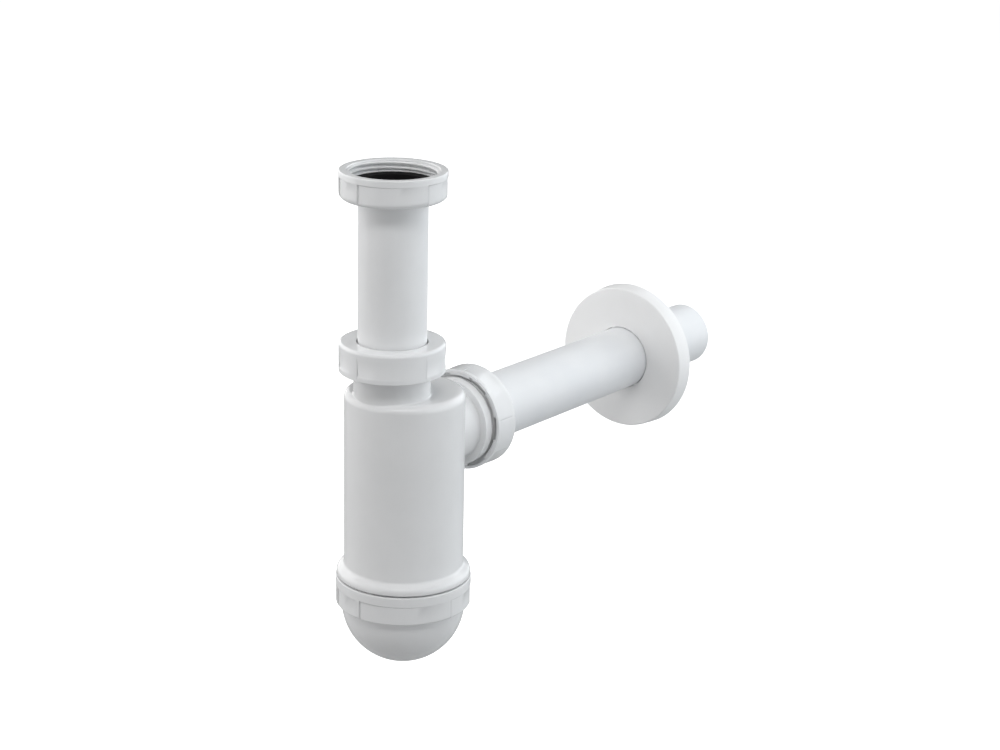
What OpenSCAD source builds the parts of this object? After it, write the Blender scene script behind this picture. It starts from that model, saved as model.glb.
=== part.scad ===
// Bottle trap for a basin: the water seal sits in an upright bottle with a screw-off cleaning cup.
// Origin: centre of the inlet washer's top face. +Z is up the inlet, +Y runs along the outlet to the wall.
// All sizes are in millimetres.

/* [Inlet tube and outlet pipe] */
// Outer diameter of the inlet tube and of the outlet pipe
tube_d = 32; // [26:0.5:40]
// Wall of both pipes
tube_wall = 1.8; // [1.4:0.1:2.6]
// Thickness of the flange at the top of the inlet tube
flange_t = 2; // [1.5:0.1:3]
// Thickness of the inlet washer
washer_t = 3; // [2:0.1:4]
// Height of the tube's lower end above the rim plane of the bowl
tube_above_bowl = 16.7; // [12:0.1:40]

/* [Nuts and threads] */
// How much wider the nut threads are than the tube
thread_over_tube = 9.9; // [9:0.1:12]
// Height of a compression thread's ridge
thread_depth = 1.4; // [1:0.1:1.6]
// Clearance between an outer and an inner thread, on the radius
thread_gap = 0.3; // [0.2:0.05:0.5]
// Wall of a nut outside its thread
nut_wall = 3.7; // [3:0.1:5]
// Thickness of a nut's closed end
nut_end = 3; // [2.5:0.1:5]
// Height of a compression nut
nut_h = 14; // [13:0.5:18]
// Plain collar at the open end of a compression nut
nut_collar = 1.6; // [1:0.1:3]
// Gap between a tube and the hole of its nut, on the radius
nut_hole_gap = 1; // [0.4:0.1:1.2]
// Rim of the union nut above the washer
union_lip = 5.3; // [5:0.1:9]
// Thickness of the union nut's closed end
union_end = 3.7; // [3:0.1:5]
// Plain collar at the rim of the union nut
union_collar = 2.9; // [2:0.1:4]
// Number of grip pairs around each nut, each of a wide and a narrow panel
grip_pairs = 3; // [2:1:6]
// Share of a pair that the wide panel takes on the nuts
nut_wide = 0.66; // [0.5:0.01:0.8]
// Share of a pair that the wide panel takes on the cup
cup_wide = 0.7; // [0.5:0.01:0.8]
// Depth of a grip panel at its step
grip_depth = 0.8; // [0.4:0.1:1.2]

/* [Seals] */
// Thickness of the hard slip ring under a compression nut
ring_t = 1.2; // [0.8:0.1:2]
// Thickness of the cone seal's head
seal_head = 2.3; // [1.5:0.1:3]
// Length of the cone seal's taper
seal_cone = 6; // [4:0.1:7]
// Wall of the cone seal at the wide end of its taper
seal_cone_t = 1.9; // [1.5:0.1:2.1]
// Thickness of the cup's flat seal
cup_seal_t = 1.9; // [1.5:0.1:3]

/* [Bottle body] */
// Height from the inlet washer down to the outlet axis
seat_to_outlet = 126; // [105:1:160]
// Outer diameter of the bottle
body_d = 56.8; // [52:0.2:75]
// Wall of the bottle
body_wall = 2.2; // [1.8:0.1:3]
// Height of the bottle from its shoulder to the underside of its foot flange
body_h = 90.7; // [80:0.1:120]
// Depth of the outlet axis below the shoulder
outlet_drop = 25.2; // [25:0.1:40]
// Radius of the shoulder's rounded edge
shoulder_round = 3.5; // [2:0.1:5]
// Length of the plain neck above the shoulder
neck_l = 12.2; // [8:0.1:20]
// Length of the neck's thread
neck_thread = 7; // [6.5:0.1:12]
// Wall of the neck and of the outlet branch
neck_wall = 1.6; // [1.4:0.1:2]
// Clearance between the dip tube and the inside of the bottle
dip_gap = 1; // [0.6:0.1:4]

/* [Cleaning cup] */
// Wall of the bowl
bowl_wall = 2.5; // [1.8:0.1:3.5]
// Wall of the cup's ring outside its thread
cup_wall = 2.7; // [2:0.1:4]
// Height of the cup's ring
cup_ring = 14.1; // [12:0.1:20]
// Plain collar at the top of the cup's ring
cup_collar = 4.4; // [2:0.1:5]
// Thread ridge height on the bottle's foot
foot_thread = 0.9; // [0.6:0.1:1.5]
// Open gap between the foot flange and the cup's ring
cup_gap = 1.5; // [0.5:0.1:3]
// Height of the foot flange
foot_flange = 4.5; // [3:0.1:7]

/* [Outlet and wall] */
// Length of the plain outlet branch outside the bottle
branch_l = 6.2; // [4:0.1:20]
// Width of the stop collar behind the outlet thread
branch_collar = 3.1; // [2:0.1:5]
// Length of the outlet thread
branch_thread = 9.7; // [9:0.1:14]
// Gap between the outlet pipe's inner end and its stop in the branch
pipe_end_gap = 3.3; // [1:0.1:6]
// Distance from the inlet axis to the wall
wall_distance = 193; // [150:1:300]
// Length of the outlet pipe behind the wall face
spigot_l = 50.7; // [30:0.1:90]
// Diameter of the wall rosette at its back rim
rosette_d = 75.6; // [66:0.2:100]
// Depth of the wall rosette
rosette_t = 9; // [6:0.1:14]
// Shell thickness of the rosette
rosette_wall = 1.8; // [1.2:0.1:2.5]

/* [Hidden] */
$fn = 96;

// clearances, on the radius or along an axis
run_gap = 0.05;      // between pieces that turn or slide on each other
socket_gap = 0.3;    // between a pipe and the plain bore that it passes through
hub_gap = 0.1;       // between the rosette's hub and the pipe
loose_gap = 0.15;    // between a seal or ring and the thread crests around it
free_gap = 0.4;      // between the union nut and the tube, which turn freely on each other
cut = 1;             // how far a cutting solid runs past the face that it cuts

// small steps and edges
fine_step = 0.1;     // where two cylinders should not share a face
end_chamfer = 0.5;   // at the ends of both pipes
nut_edge = 2.6;      // rounding of a compression nut's closed end
union_edge = 4;      // rounding of the union nut's closed end
cup_edge = 2.4;      // rounding under the cup's ring
mouth_chamfer = 1.3; // inside the union nut's rim

// the pipes
tube_r = tube_d / 2;
tube_ir = tube_r - tube_wall;

// the threads that the tube size sets: the inlet's, the neck's and the outlet's are alike
thread_r = (tube_d + thread_over_tube) / 2;
nut_bore_r = thread_r + fine_step;
male_r = nut_bore_r - thread_gap;
seal_r = thread_r - thread_depth - loose_gap - fine_step;
nut_r = nut_bore_r + nut_wall;
nut_hole_r = tube_r + nut_hole_gap;
neck_r = tube_r + socket_gap + neck_wall;
stop_step = 0.7;
collar_r = male_r + stop_step;

// wall of a cone seal at its tip
seal_tip = seal_cone_t * 0.35;

// heights of the inlet joint, down from the washer's top face at 0
flange_z = -washer_t;
union_shelf_z = flange_z - flange_t - run_gap;
union_low_z = union_shelf_z - union_end;
recess_gap = 0.9;
recess_r = seal_r + recess_gap;

// the bottle stands beside the tube, towards the wall, as far as the tube's clearance lets it
body_r = body_d / 2;
body_ir = body_r - body_wall;
body_y = body_ir - tube_r - dip_gap;

// heights of the bottle
outlet_z = -seat_to_outlet;
shoulder_z = outlet_z + outlet_drop;
neck_mouth_z = shoulder_z + neck_l + neck_thread;
flange_low_z = shoulder_z - body_h;

// a compression joint, measured outwards from the mouth of its thread
joint_ring = seal_head + 2 * run_gap;
joint_end = joint_ring + ring_t + run_gap;
joint_face = joint_end + nut_end;
joint_open = joint_face - nut_h;

// the cup and its ring
foot_r = body_r + foot_thread;
cup_bore_r = foot_r + thread_gap;
cup_r = cup_bore_r + cup_wall;
flange_inset = 0.4;
flange_r = cup_r - flange_inset;
cup_top_z = flange_low_z - cup_gap;
bowl_z = cup_top_z - cup_ring;
bowl_step = 1.1;
bowl_r = body_r + bowl_step;
bowl_ir = bowl_r - bowl_wall;
cup_floor = 1.5;
cup_ledge_z = bowl_z + cup_floor;
foot_low_z = cup_ledge_z + cup_seal_t + 2 * run_gap;
tube_low_z = bowl_z + tube_above_bowl;

// places along the outlet, from the inlet axis
branch_y = body_y + body_r + branch_l;
branch_thread_y = branch_y + branch_collar;
outlet_mouth_y = branch_thread_y + branch_thread;
pipe_stop_y = body_y + body_r;
pipe_low_y = pipe_stop_y + pipe_end_gap;
pipe_far_y = wall_distance + spigot_l;
rosette_r = rosette_d / 2;
rosette_y = wall_distance - rosette_t;
mark_behind = 1.5;
mark_y = wall_distance + mark_behind;
mark_w = 1;
mark_depth = 0.3;

// direction of the first grip step, from +X
grip_turn = -89;
grip_points = 8;

// outline of a nut's grip: each panel starts low at a step and rises to the full radius
module grip_outline(r, wide) {
    pair = 360 / grip_pairs;
    starts = [0, pair * wide, pair];
    crest = r - fine_step;
    polygon([for (i = [0 : grip_pairs - 1], side = [0, 1], j = [0 : grip_points])
        let (t = j / grip_points, span = starts[side + 1] - starts[side],
             a = grip_turn + pair * i + starts[side] + span * t, q = crest - grip_depth * (1 - t))
        [q * cos(a), q * sin(a)]]);
}

// solid of revolution whose outline is a chamfered slug, wide end at z = 0
module rounded_slug(r, h, edge) {
    near = edge * (1 - cos(30));
    half = edge * sin(30);
    rotate_extrude()
        polygon([[0, 0], [r, 0], [r, h - edge], [r - near, h - half],
                 [r - half, h - near], [r - edge, h], [0, h]]);
}

// ring between two radii, standing on z = 0
module ring(r_out, r_in, h) {
    difference() {
        cylinder(r = r_out, h = h);
        translate([0, 0, -cut]) cylinder(r = r_in, h = h + 2 * cut);
    }
}

// nut without its bores: grip panels, a plain collar at the open end and a rounded closed end
module nut_blank(r, h, collar, edge, wide) {
    intersection() {
        linear_extrude(h) grip_outline(r, wide);
        rounded_slug(r, h, edge);
    }
    cylinder(r = r, h = collar);
}

// compression nut, open end at z = 0
module compression_nut() {
    difference() {
        nut_blank(nut_r, nut_h, nut_collar, nut_edge, nut_wide);
        translate([0, 0, -cut]) cylinder(r = nut_bore_r, h = nut_h - nut_end + cut);
        translate([0, 0, -cut]) cylinder(r = nut_hole_r, h = nut_h + 2 * cut);
    }
}

// hard ring that lets the nut turn without dragging the seal
module slip_ring() {
    ring(seal_r, tube_r + socket_gap, ring_t);
}

// seal with a flat head above z = 0 and a taper below it
module cone_seal() {
    bore = tube_r + run_gap;
    rotate_extrude()
        polygon([[bore, -seal_cone], [tube_r + seal_tip, -seal_cone], [tube_r + seal_cone_t, 0],
                 [seal_r, 0], [seal_r, seal_head], [bore, seal_head]]);
}

// what a cone seal and its pipe need cut from a branch whose mouth is at z = 0
module seal_seat(depth) {
    wide = tube_r + seal_cone_t + fine_step;
    narrow = tube_r + seal_tip + fine_step;
    seat_depth = seal_cone + 0.5;
    translate([0, 0, -seat_depth]) cylinder(r1 = narrow, r2 = wide, h = seat_depth);
    cylinder(r = wide, h = cut);
    translate([0, 0, -depth]) cylinder(r = tube_r + socket_gap, h = depth);
}

// places a child so that its z axis runs along the outlet, from the inlet axis
module on_outlet(y) {
    translate([0, y, outlet_z]) rotate([-90, 0, 0]) children();
}

module inlet_union_nut() {
    height = union_lip - union_low_z;
    color("whitesmoke") difference() {
        translate([0, 0, union_lip]) mirror([0, 0, 1])
            nut_blank(nut_r, height, union_collar, union_edge, nut_wide);
        cylinder(r = nut_bore_r, h = union_lip + cut);
        translate([0, 0, union_lip - mouth_chamfer])
            cylinder(r1 = nut_bore_r, r2 = nut_bore_r + mouth_chamfer, h = mouth_chamfer);
        translate([0, 0, union_lip]) cylinder(r = nut_bore_r + mouth_chamfer, h = cut);
        translate([0, 0, union_shelf_z]) cylinder(r = recess_r, h = cut - union_shelf_z);
        translate([0, 0, union_low_z - cut]) cylinder(r = tube_r + free_gap, h = union_end + 2 * cut);
    }
}

module inlet_washer() {
    color("black") translate([0, 0, flange_z]) ring(seal_r, tube_ir, washer_t);
}

module inlet_tube() {
    color("whitesmoke") rotate_extrude()
        polygon([[tube_ir, tube_low_z], [tube_r - end_chamfer, tube_low_z],
                 [tube_r, tube_low_z + end_chamfer], [tube_r, flange_z - flange_t], [seal_r, flange_z - flange_t],
                 [seal_r, flange_z], [tube_ir, flange_z]]);
}

module neck_nut() {
    color("whitesmoke") translate([0, 0, neck_mouth_z + joint_open]) compression_nut();
}

module neck_slip_ring() {
    color("gainsboro") translate([0, 0, neck_mouth_z + joint_ring]) slip_ring();
}

module neck_cone_seal() {
    color("dimgray") translate([0, 0, neck_mouth_z + run_gap]) cone_seal();
}

// the foot flange's curve, as shares of its width and height
flange_curve = [[0, 0], [0, 0.3], [0.11, 0.6], [0.46, 0.88], [1, 1]];

// outer skin of the bottle, turned about its own axis: shoulder, wall, foot flange and foot
module bottle_skin() {
    rotate_extrude() difference() {
        polygon(concat([[0, foot_low_z], [foot_r, foot_low_z], [foot_r, flange_low_z]],
                       [for (p = flange_curve) [flange_r - p[0] * (flange_r - body_r),
                                                flange_low_z + p[1] * foot_flange]],
                       [[body_r, shoulder_z], [0, shoulder_z]]));
        difference() {
            translate([body_r - shoulder_round, shoulder_z - shoulder_round])
                square(shoulder_round + cut);
            translate([body_r - shoulder_round, shoulder_z - shoulder_round])
                circle(shoulder_round);
        }
    }
}

module bottle_body() {
    roof = body_wall + socket_gap;
    color("whitesmoke") difference() {
        union() {
            translate([0, body_y, 0]) bottle_skin();
            translate([0, 0, shoulder_z - roof]) cylinder(r = neck_r, h = neck_l + roof + cut);
            translate([0, 0, shoulder_z + neck_l]) cylinder(r = male_r, h = neck_thread);
            on_outlet(body_y) cylinder(r = neck_r, h = branch_y - body_y + cut);
            on_outlet(branch_y) cylinder(r = collar_r, h = branch_collar);
            on_outlet(branch_thread_y - cut) cylinder(r = male_r, h = branch_thread + cut);
        }
        translate([0, body_y, foot_low_z - cut])
            cylinder(r = body_ir, h = shoulder_z - roof - foot_low_z + cut);
        translate([0, 0, neck_mouth_z]) seal_seat(neck_l + neck_thread + roof + cut);
        on_outlet(outlet_mouth_y) seal_seat(outlet_mouth_y - pipe_stop_y);
        on_outlet(body_y) cylinder(r = tube_ir, h = body_r + cut);
    }
}

module cup_seal() {
    color("dimgray") translate([0, body_y, cup_ledge_z + run_gap])
        ring(cup_bore_r - free_gap, bowl_ir + loose_gap, cup_seal_t);
}

module bottom_cup() {
    color("whitesmoke") translate([0, body_y, bowl_z]) difference() {
        union() {
            translate([0, 0, cup_ring]) mirror([0, 0, 1])
                nut_blank(cup_r, cup_ring, cup_collar, cup_edge, cup_wide);
            rotate_extrude() intersection() {
                circle(bowl_r);
                translate([0, -bowl_r - cut]) square([bowl_r + cut, bowl_r + 2 * cut]);
            }
        }
        translate([0, 0, cup_ledge_z - bowl_z]) cylinder(r = cup_bore_r, h = cup_ring);
        cylinder(r = bowl_ir, h = cup_ring);
        sphere(bowl_ir);
    }
}

module outlet_nut() {
    color("whitesmoke") on_outlet(outlet_mouth_y + joint_open) compression_nut();
}

module outlet_slip_ring() {
    color("gainsboro") on_outlet(outlet_mouth_y + joint_ring) slip_ring();
}

module outlet_cone_seal() {
    color("dimgray") on_outlet(outlet_mouth_y + run_gap) cone_seal();
}

// the groove around the pipe shows how far its spigot goes into the wall
module outlet_pipe() {
    color("whitesmoke") on_outlet(0) rotate_extrude() difference() {
        polygon([[tube_ir, pipe_low_y], [tube_r - end_chamfer, pipe_low_y],
                 [tube_r, pipe_low_y + end_chamfer], [tube_r, pipe_far_y - end_chamfer],
                 [tube_r - end_chamfer, pipe_far_y], [tube_ir, pipe_far_y]]);
        translate([tube_r - mark_depth, mark_y]) square([cut, mark_w]);
    }
}

module wall_rosette() {
    hub_r = tube_r + hub_gap;
    front_r = rosette_r - 0.75;
    front_edge = 0.8;
    hub_depth = rosette_t * 0.6;
    color("white") on_outlet(rosette_y) rotate_extrude()
        polygon([[hub_r, 0], [front_r - front_edge, 0], [front_r, front_edge], [rosette_r, rosette_t],
                 [rosette_r - rosette_wall, rosette_t], [front_r - rosette_wall, rosette_wall],
                 [hub_r + rosette_wall, rosette_wall], [hub_r + rosette_wall, hub_depth],
                 [hub_r, hub_depth]]);
}

inlet_union_nut();
inlet_washer();
inlet_tube();
neck_nut();
neck_slip_ring();
neck_cone_seal();
bottle_body();
cup_seal();
bottom_cup();
outlet_nut();
outlet_slip_ring();
outlet_cone_seal();
outlet_pipe();
wall_rosette();
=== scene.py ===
# %% [markdown]
# # A white bottle trap, piece by piece
# A bottle trap hangs under a basin. Waste water falls down the upright tube into the bottle, rises past
# the tube's end and leaves through the pipe to the wall, so some water always stays behind as a seal.
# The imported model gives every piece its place. This lesson makes the visible mouldings around it:
# turned walls with real fillets, nuts with pressed grip panels, and threads that really wind.

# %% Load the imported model
import math

import bpy
import bmesh
import numpy as np
from mathutils import Matrix, Vector


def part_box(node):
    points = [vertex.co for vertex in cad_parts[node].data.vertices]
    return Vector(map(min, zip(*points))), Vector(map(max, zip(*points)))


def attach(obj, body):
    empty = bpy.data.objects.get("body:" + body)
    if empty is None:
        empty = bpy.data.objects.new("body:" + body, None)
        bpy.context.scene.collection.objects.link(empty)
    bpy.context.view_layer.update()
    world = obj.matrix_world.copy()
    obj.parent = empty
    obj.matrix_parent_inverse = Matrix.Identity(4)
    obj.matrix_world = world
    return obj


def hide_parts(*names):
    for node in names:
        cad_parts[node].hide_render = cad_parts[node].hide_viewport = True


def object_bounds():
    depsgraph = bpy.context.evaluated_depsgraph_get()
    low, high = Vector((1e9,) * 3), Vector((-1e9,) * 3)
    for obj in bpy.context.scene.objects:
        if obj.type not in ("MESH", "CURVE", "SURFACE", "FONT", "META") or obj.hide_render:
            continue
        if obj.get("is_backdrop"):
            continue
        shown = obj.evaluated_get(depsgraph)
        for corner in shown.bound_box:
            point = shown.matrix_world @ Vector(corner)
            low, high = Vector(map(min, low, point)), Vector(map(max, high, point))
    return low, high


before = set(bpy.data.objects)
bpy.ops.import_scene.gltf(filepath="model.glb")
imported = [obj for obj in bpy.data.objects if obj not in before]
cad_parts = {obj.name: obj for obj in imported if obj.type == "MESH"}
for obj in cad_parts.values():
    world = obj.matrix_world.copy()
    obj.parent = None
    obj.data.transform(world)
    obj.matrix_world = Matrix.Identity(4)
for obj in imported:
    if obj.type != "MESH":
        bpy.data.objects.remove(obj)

CAD_LOW, CAD_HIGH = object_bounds()
MM = 0.001
print("box in mm:", [round(v / MM, 1) for v in (CAD_HIGH - CAD_LOW)])


# %% [markdown]
# ## Sizes
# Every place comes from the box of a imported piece, in millimetres. What a box can't show, such as the
# depth of a thread inside a nut, is written down here once, with a name.

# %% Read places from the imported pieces
def box_mm(node):
    low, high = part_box(node)
    return Vector([v / MM for v in low]), Vector([v / MM for v in high])


union_low, union_high = box_mm("inlet_union_nut")
washer_low, washer_high = box_mm("inlet_washer")
tube_low, tube_high = box_mm("inlet_tube")
neck_nut_low, neck_nut_high = box_mm("neck_nut")
neck_ring_low, neck_ring_high = box_mm("neck_slip_ring")
neck_seal_low, neck_seal_high = box_mm("neck_cone_seal")
bottle_low, bottle_high = box_mm("bottle_body")
cup_seal_low, cup_seal_high = box_mm("cup_seal")
cup_low, cup_high = box_mm("bottom_cup")
outlet_nut_low, _ = box_mm("outlet_nut")
outlet_ring_low, _ = box_mm("outlet_slip_ring")
_, outlet_seal_high = box_mm("outlet_cone_seal")
pipe_low, pipe_high = box_mm("outlet_pipe")
rosette_low, rosette_high = box_mm("wall_rosette")

PIPE_R = (pipe_high.x - pipe_low.x) / 2
BORE_R = PIPE_R - 1.8
OUTLET_Z = (pipe_high.z + pipe_low.z) / 2
NUT_R = (union_high.x - union_low.x) / 2
SEAL_R = (washer_high.x - washer_low.x) / 2
FLANGE_R = (bottle_high.x - bottle_low.x) / 2
BOTTLE_Y = bottle_low.y + FLANGE_R
CUP_R = (cup_high.x - cup_low.x) / 2
ROSETTE_R = (rosette_high.x - rosette_low.x) / 2
for what, size in (("pipe radius", PIPE_R), ("nut radius", NUT_R), ("bottle axis at y", BOTTLE_Y)):
    print(what, round(size, 2))

# %% Sizes inside the walls
NUT_BORE_R = NUT_R - 3.7            # inside a nut
NUT_HOLE_R = PIPE_R + 0.6           # the hole in a compression nut's closed end
NECK_R = PIPE_R + 1.9               # neck and branch, outside
SOCKET_R = PIPE_R + 0.3             # neck and branch, inside
CORE_R = NUT_BORE_R - 1.5           # foot of the threads on neck and branch
BODY_R = FLANGE_R - 3.5             # the bottle's wall, outside
BODY_BORE_R = BODY_R - 2.2          # the bottle's wall, inside
SHOULDER_ROUND = 3.5                # rounding of the bottle's shoulder
GRIP_PAIRS = 3                      # pairs of a wide and a narrow grip panel
GRIP_DEPTH = 0.5                    # how deep a panel starts
GRIP_TURN = math.radians(-89)       # where the first panel starts
NUT_WIDE, CUP_WIDE = 0.66, 0.70     # the wide panel's share of its pair
NUT_PITCH, CUP_PITCH = 2.309, 4.0   # rise of the threads in one turn
ROUND_STEPS = 5                     # steps in a rounded corner
COLUMNS = 128                       # columns around a plain turned piece
WELD = 0.000002                     # points closer than this, in metres, are one
print("bottle wall", round(BODY_R - BODY_BORE_R, 2), "thread core radius", round(CORE_R, 2))

# %% [markdown]
# ## The camera
# The trap is seen from its left front, a little above, through a long lens, so its walls stay nearly
# parallel. The camera is placed by its angles around the upright tube, with a slight roll.

# %% Place the camera
VIEW_AZIMUTH, VIEW_ELEVATION, VIEW_ROLL = (math.radians(a) for a in (37.941, 17.866, 1.254))
VIEW_DISTANCE = 1.053185
VIEW_SIDEWAYS = 0.049772
VIEW_HEIGHT = -0.090605
SENSOR_WIDTH, FOCAL_LENGTH = 36, 82.17

cos_a, sin_a = math.cos(VIEW_AZIMUTH), math.sin(VIEW_AZIMUTH)
cos_e, sin_e = math.cos(VIEW_ELEVATION), math.sin(VIEW_ELEVATION)
back = Vector((sin_a * cos_e, -cos_a * cos_e, sin_e))
level = Vector((cos_a, sin_a, 0))
upward = back.cross(level)
right = level * math.cos(VIEW_ROLL) + upward * math.sin(VIEW_ROLL)
up = upward * math.cos(VIEW_ROLL) - level * math.sin(VIEW_ROLL)
target = Vector((0, 0, VIEW_HEIGHT)) + level * VIEW_SIDEWAYS
place = target + back * VIEW_DISTANCE
lens = bpy.data.cameras.new("long lens")
lens.sensor_width, lens.lens = SENSOR_WIDTH, FOCAL_LENGTH
camera = bpy.data.objects.new("camera", lens)
camera.matrix_world = Matrix((
    (right.x, up.x, back.x, place.x),
    (right.y, up.y, back.y, place.y),
    (right.z, up.z, back.z, place.z),
    (0, 0, 0, 1)))
bpy.context.scene.collection.objects.link(camera)
bpy.context.scene.camera = camera
print("camera at", [round(v, 3) for v in place])


# %% [markdown]
# ## Nodes written as maths
# A node tree of sums is hard to read, and long to build one node at a time. A small class wraps a
# socket, so that `1 - mask * 0.2` adds the Math nodes by itself. The same class serves materials and
# Geometry Nodes, and the method `node` makes every other kind.

# %% A socket that does sums
class Socket:
    def __init__(self, tree, out):
        self.tree, self.out = tree, out

    def also(self, name):
        return Socket(self.tree, self.out.node.outputs[name])

    def sum(self, operation, a, b=0.0, c=0.0):
        return self.tree.node("ShaderNodeMath", {"operation": operation}, {0: a, 1: b, 2: c})

    def __add__(self, other): return self.sum("ADD", self, other)
    def __radd__(self, other): return self.sum("ADD", other, self)
    def __sub__(self, other): return self.sum("SUBTRACT", self, other)
    def __rsub__(self, other): return self.sum("SUBTRACT", other, self)
    def __mul__(self, other): return self.sum("MULTIPLY", self, other)
    def __rmul__(self, other): return self.sum("MULTIPLY", other, self)
    def __truediv__(self, other): return self.sum("DIVIDE", self, other)
    def __rtruediv__(self, other): return self.sum("DIVIDE", other, self)
    def sin(self): return self.sum("SINE", self)
    def cos(self): return self.sum("COSINE", self)
    def fraction(self): return self.sum("FRACT", self)
    def soft_least(self, other, blur): return self.sum("SMOOTH_MIN", self, other, blur)

    def between(self, low, high):
        """0 below low, 1 above high, and a smooth ramp from one to the other."""
        return self.tree.node(
            "ShaderNodeMapRange", {"interpolation_type": "SMOOTHSTEP"},
            {"Value": self, "From Min": low, "From Max": high})


class Tree:
    def __init__(self, node_tree):
        self.nodes, self.links = node_tree.nodes, node_tree.links

    def node(self, kind, settings=None, inputs=None, out=0):
        made = self.nodes.new(kind)
        for name, value in (settings or {}).items():
            setattr(made, name, value)
        for key, value in (inputs or {}).items():
            if isinstance(value, Socket):
                self.links.new(value.out, made.inputs[key])
            else:
                made.inputs[key].default_value = value
        return Socket(self, made.outputs[out]) if len(made.outputs) else made


# %% A Geometry Nodes tree with named inputs
def geometry_tree(name, sizes):
    """An empty tree with a geometry input and one number input for each name in sizes."""
    group = bpy.data.node_groups.new(name, "GeometryNodeTree")
    group.interface.new_socket("Geometry", in_out="INPUT", socket_type="NodeSocketGeometry")
    group.interface.new_socket("Geometry", in_out="OUTPUT", socket_type="NodeSocketGeometry")
    for size, start in sizes.items():
        kind = "NodeSocketInt" if isinstance(start, int) else "NodeSocketFloat"
        group.interface.new_socket(size, in_out="INPUT", socket_type=kind).default_value = start
    group.interface.new_socket("Finish", in_out="INPUT", socket_type="NodeSocketMaterial")
    tree = Tree(group)
    entry = group.nodes.new("NodeGroupInput")
    return group, tree, {s.name: Socket(tree, s) for s in entry.outputs if s.name}


def end_tree(tree, geometry, finish):
    real = tree.node("GeometryNodeRealizeInstances", inputs={0: geometry})
    dressed = tree.node("GeometryNodeSetMaterial", inputs={"Geometry": real, "Material": finish})
    tree.node("NodeGroupOutput", inputs={0: dressed})


def run_tree(obj, group, values):
    """Runs a tree on obj with these input values, and keeps the result as a plain mesh."""
    modifier = obj.modifiers.new(group.name, "NODES")
    modifier.node_group = group
    ids = {i.name: i.identifier for i in group.interface.items_tree if i.in_out == "INPUT"}
    for name, value in values.items():
        modifier[ids[name]] = value
    bpy.context.view_layer.update()
    evaluated = obj.evaluated_get(bpy.context.evaluated_depsgraph_get())
    result = bpy.data.meshes.new_from_object(evaluated)
    obj.modifiers.remove(modifier)
    obj.data = result
    return obj


# %% [markdown]
# ## Finishes
# The mouldings are polypropylene: white with a touch of grey, a soft gloss, and a skin that is never
# quite flat. A single colour would look like plaster. So each finish mixes a slow cloud of tone, faint
# flow streaks from the mould, a fine orange peel and a few rubbed spots. One recipe serves all of them,
# with other numbers for each piece. Where a piece has grip panels, shade is painted into the colour
# along the high side of each step: the panels' own tree stores where, in an attribute called crease.

# %% One recipe for moulded plastic
# Painted shade: the grey that is mixed into the colour along the grip steps.
SHADE_GREY = (0.30, 0.30, 0.30, 1)
CLOUD, FLOW, SKIN, RUB, GRIT = 45, 260, 900, 1500, 5200     # patches in a metre of each pattern
BUMP_STRENGTH, BUMP_HEIGHT = 0.35, 0.00006
PLASTIC_IOR = 1.49
RUBBER_SHINE = 0.12
UPRIGHT, OUTWARD, EVENLY = (1, 1, 0.12), (1, 0.12, 1), (1, 1, 1)     # which way the streaks run


def noise(tree, vector, scale, detail=2, **others):
    return tree.node("ShaderNodeTexNoise", inputs={
        "Vector": vector, "Scale": scale, "Detail": detail, **others})


def mixed(tree, share, first, second):
    return tree.node("ShaderNodeMix", {"data_type": "RGBA"}, {0: share, 6: first, 7: second}, out=2)


def plastic(name, light, dark, gloss, streak=UPRIGHT, peel=0.25, rubber=False, step_shade=0.0):
    made = bpy.data.materials.new(name)
    made.use_nodes = True
    tree = Tree(made.node_tree)
    shader = made.node_tree.nodes["Principled BSDF"]
    spot = tree.node("ShaderNodeTexCoord").also("Object")
    along = tree.node("ShaderNodeMapping", inputs={"Vector": spot, "Scale": streak})
    cloud = noise(tree, spot, CLOUD, detail=3)
    flow = noise(tree, along, FLOW, detail=4, Roughness=0.6)
    skin = noise(tree, spot, SKIN)
    grit = noise(tree, spot, GRIT)
    rub = noise(tree, along, RUB).between(0.6, 0.72)
    tone = cloud.between(0.3, 0.7) * 0.6 + flow.between(0.35, 0.75) * 0.12 + rub * 0.15
    colour = mixed(tree, tone, light, dark)
    # Painted shade: the colour turns towards grey along the grip steps, where the crease attribute says.
    if step_shade:
        crease = tree.node("ShaderNodeAttribute", {"attribute_name": "crease"}, out="Fac")
        colour = mixed(tree, crease * step_shade, colour, SHADE_GREY)
    rough = gloss + (cloud - 0.5) * 0.06 + (flow - 0.5) * 0.03 + rub * 0.04
    height = skin * peel + flow * 0.03 + grit * (0.5 if rubber else 0.06)
    bump = tree.node("ShaderNodeBump", inputs={
        "Strength": BUMP_STRENGTH, "Distance": BUMP_HEIGHT, "Height": height})
    for socket, value in (("Base Color", colour), ("Roughness", rough), ("Normal", bump)):
        made.node_tree.links.new(value.out, shader.inputs[socket])
    shader.inputs["IOR"].default_value = PLASTIC_IOR
    if rubber:
        shader.inputs["Specular IOR Level"].default_value = RUBBER_SHINE
    return made


# %% Mix the finishes
# Each pair is the tone of the light patches and of the dark ones. The number after it is the roughness.
# Near 0.27 the renderer's noise filter changes its way with gloss, and patches would show, so none of
# the visible finishes is close to that.
NUT_TONES = (0.83, 0.835, 0.84, 1), (0.79, 0.795, 0.80, 1)
PIPE_TONES = (0.83, 0.84, 0.85, 1), (0.785, 0.80, 0.82, 1)
BODY_TONES = (0.82, 0.823, 0.826, 1), (0.78, 0.783, 0.786, 1)
ROSETTE_TONES = (0.93, 0.93, 0.93, 1), (0.90, 0.90, 0.90, 1)
RING_TONES = (0.70, 0.71, 0.70, 1), (0.64, 0.65, 0.64, 1)
BLACK_TONES = (0.004, 0.004, 0.0045, 1), (0.009, 0.009, 0.0095, 1)
SEAL_TONES = (0.10, 0.10, 0.105, 1), (0.14, 0.14, 0.145, 1)
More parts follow.
